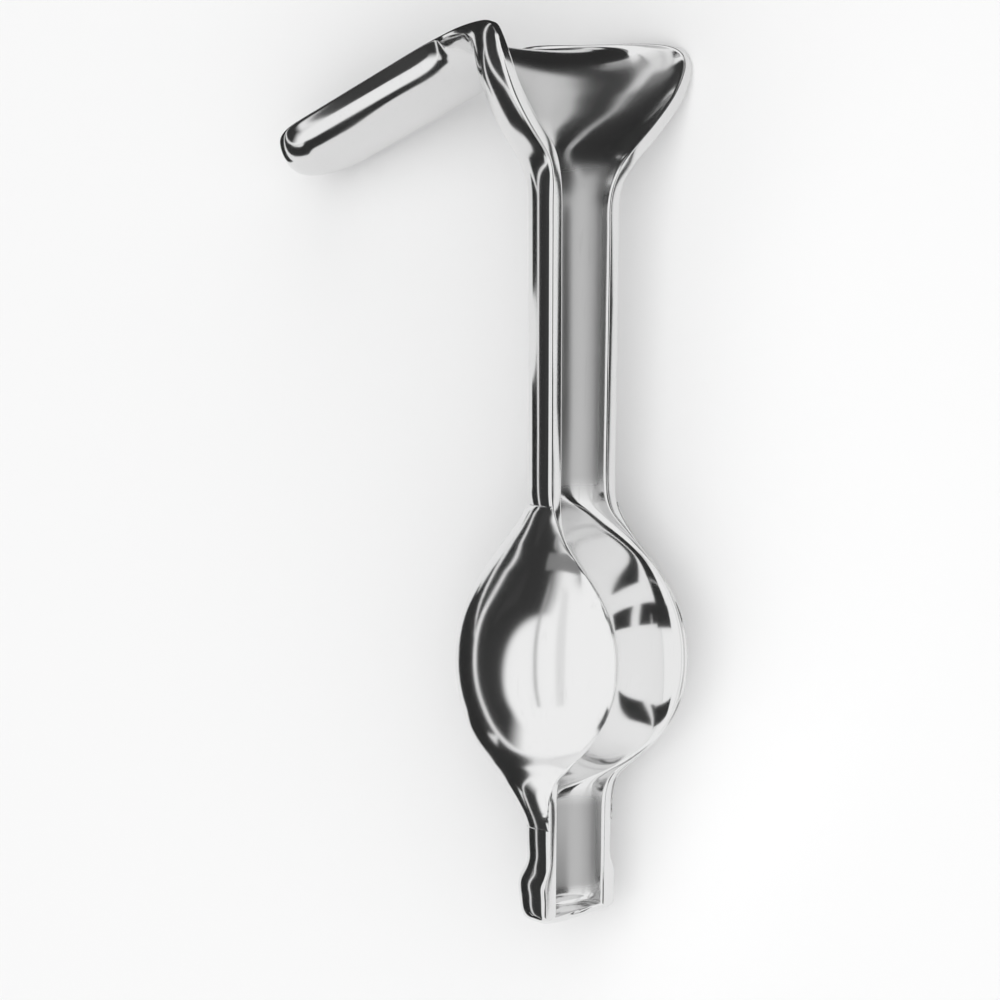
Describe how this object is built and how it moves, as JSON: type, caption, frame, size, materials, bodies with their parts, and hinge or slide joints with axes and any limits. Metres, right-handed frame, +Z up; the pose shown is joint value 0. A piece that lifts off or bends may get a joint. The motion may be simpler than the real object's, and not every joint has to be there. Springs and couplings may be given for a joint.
{
  "type": "vaginal speculum",
  "caption": "Weighted vaginal speculum: trough-shaped blade, flared flange and gutter handle, with an egg-shaped weight round the lower gutter and a flared foot.",
  "frame": {"origin": "centre of the bounding box's underside, on the surface that the speculum lies on", "axes": "+Y along the handle towards the flange, +X towards the gutter's open side, +Z up"},
  "size_m": [0.1218, 0.2338, 0.0837],
  "materials": {
    "polished_steel": "mirror polished steel",
    "ground_steel": "polished steel"
  },
  "bodies": {
    "root": {"blade_and_gutter": "polished_steel", "weight": "ground_steel"}
  },
  "joints": []
}
